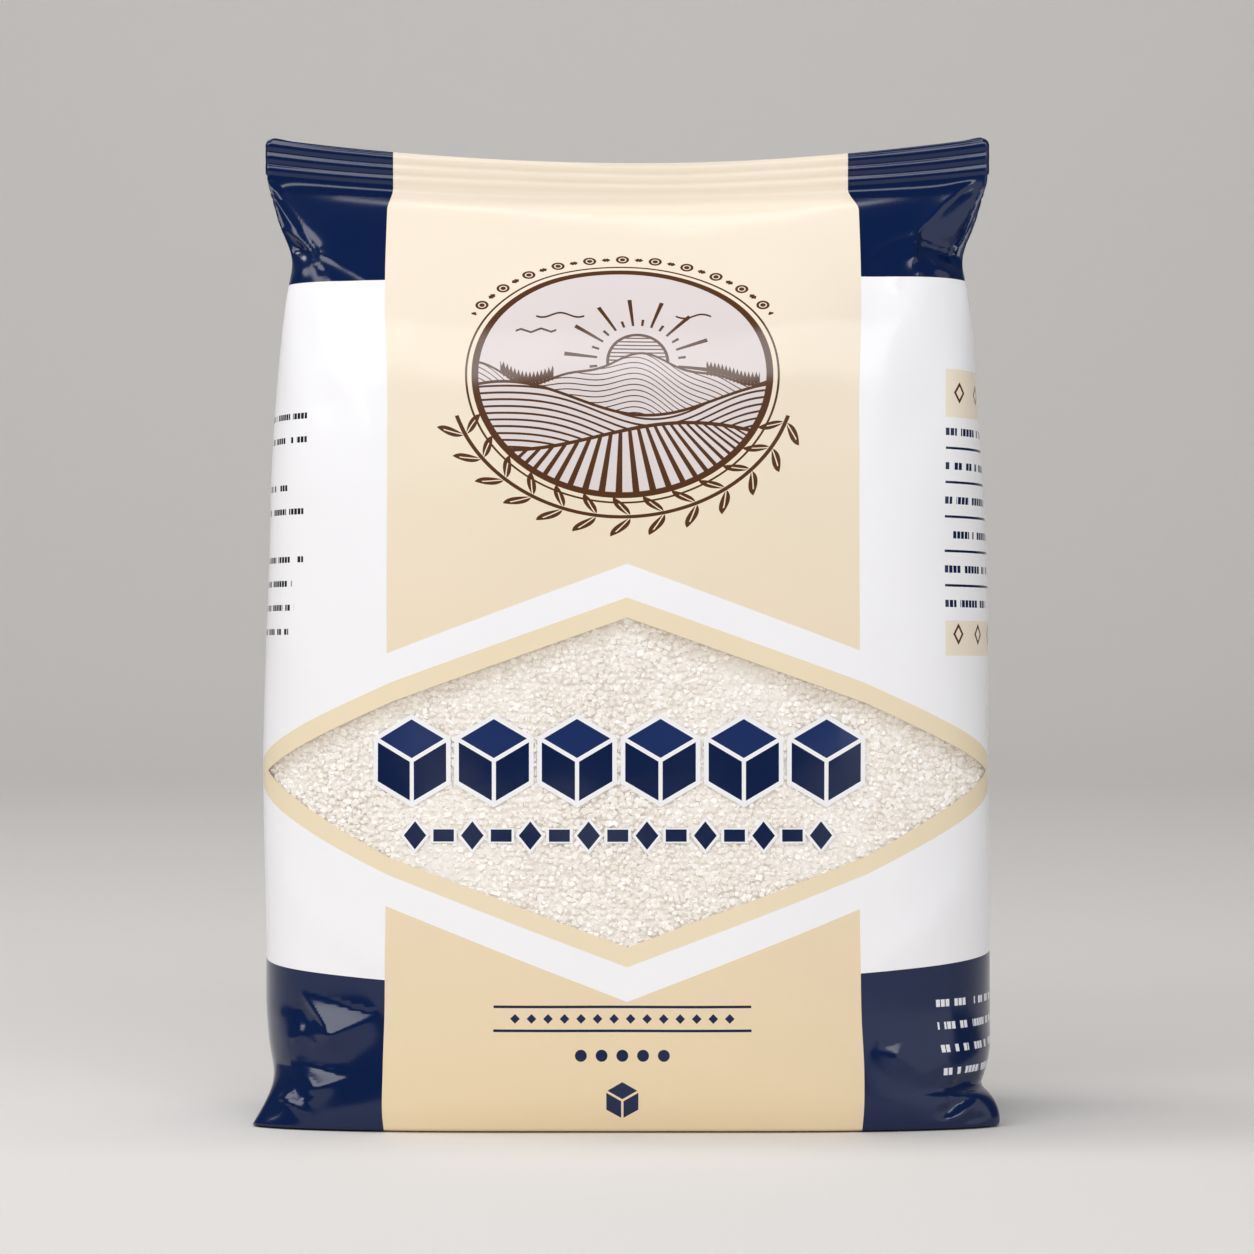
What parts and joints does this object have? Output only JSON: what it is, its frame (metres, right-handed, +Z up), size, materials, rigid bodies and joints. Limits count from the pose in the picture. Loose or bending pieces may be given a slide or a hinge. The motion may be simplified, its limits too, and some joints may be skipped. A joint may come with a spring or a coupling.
{
  "type": "bag of sugar",
  "caption": "Filled film pack of white sugar that stands upright, with a crimped top seal, tucked shoulders, a clear diamond window and printed colour panels.",
  "frame": {"origin": "middle of the flat base that the pack stands on", "axes": "+Z up, -Y towards the front with the window, +X to the right as seen from the front"},
  "size_m": [0.1504, 0.0672, 0.197],
  "materials": {
    "printed_film": "satin printed plastic film: white and cream panels with deep navy corner blocks, and cream lines round the window",
    "clear_film": "clear glossy plastic film of the window",
    "sugar": "dry white granulated sugar, a matte bed of crystals with small bright sparkles"
  },
  "bodies": {
    "root": {"sugar_bag": "printed_film"}
  },
  "joints": []
}
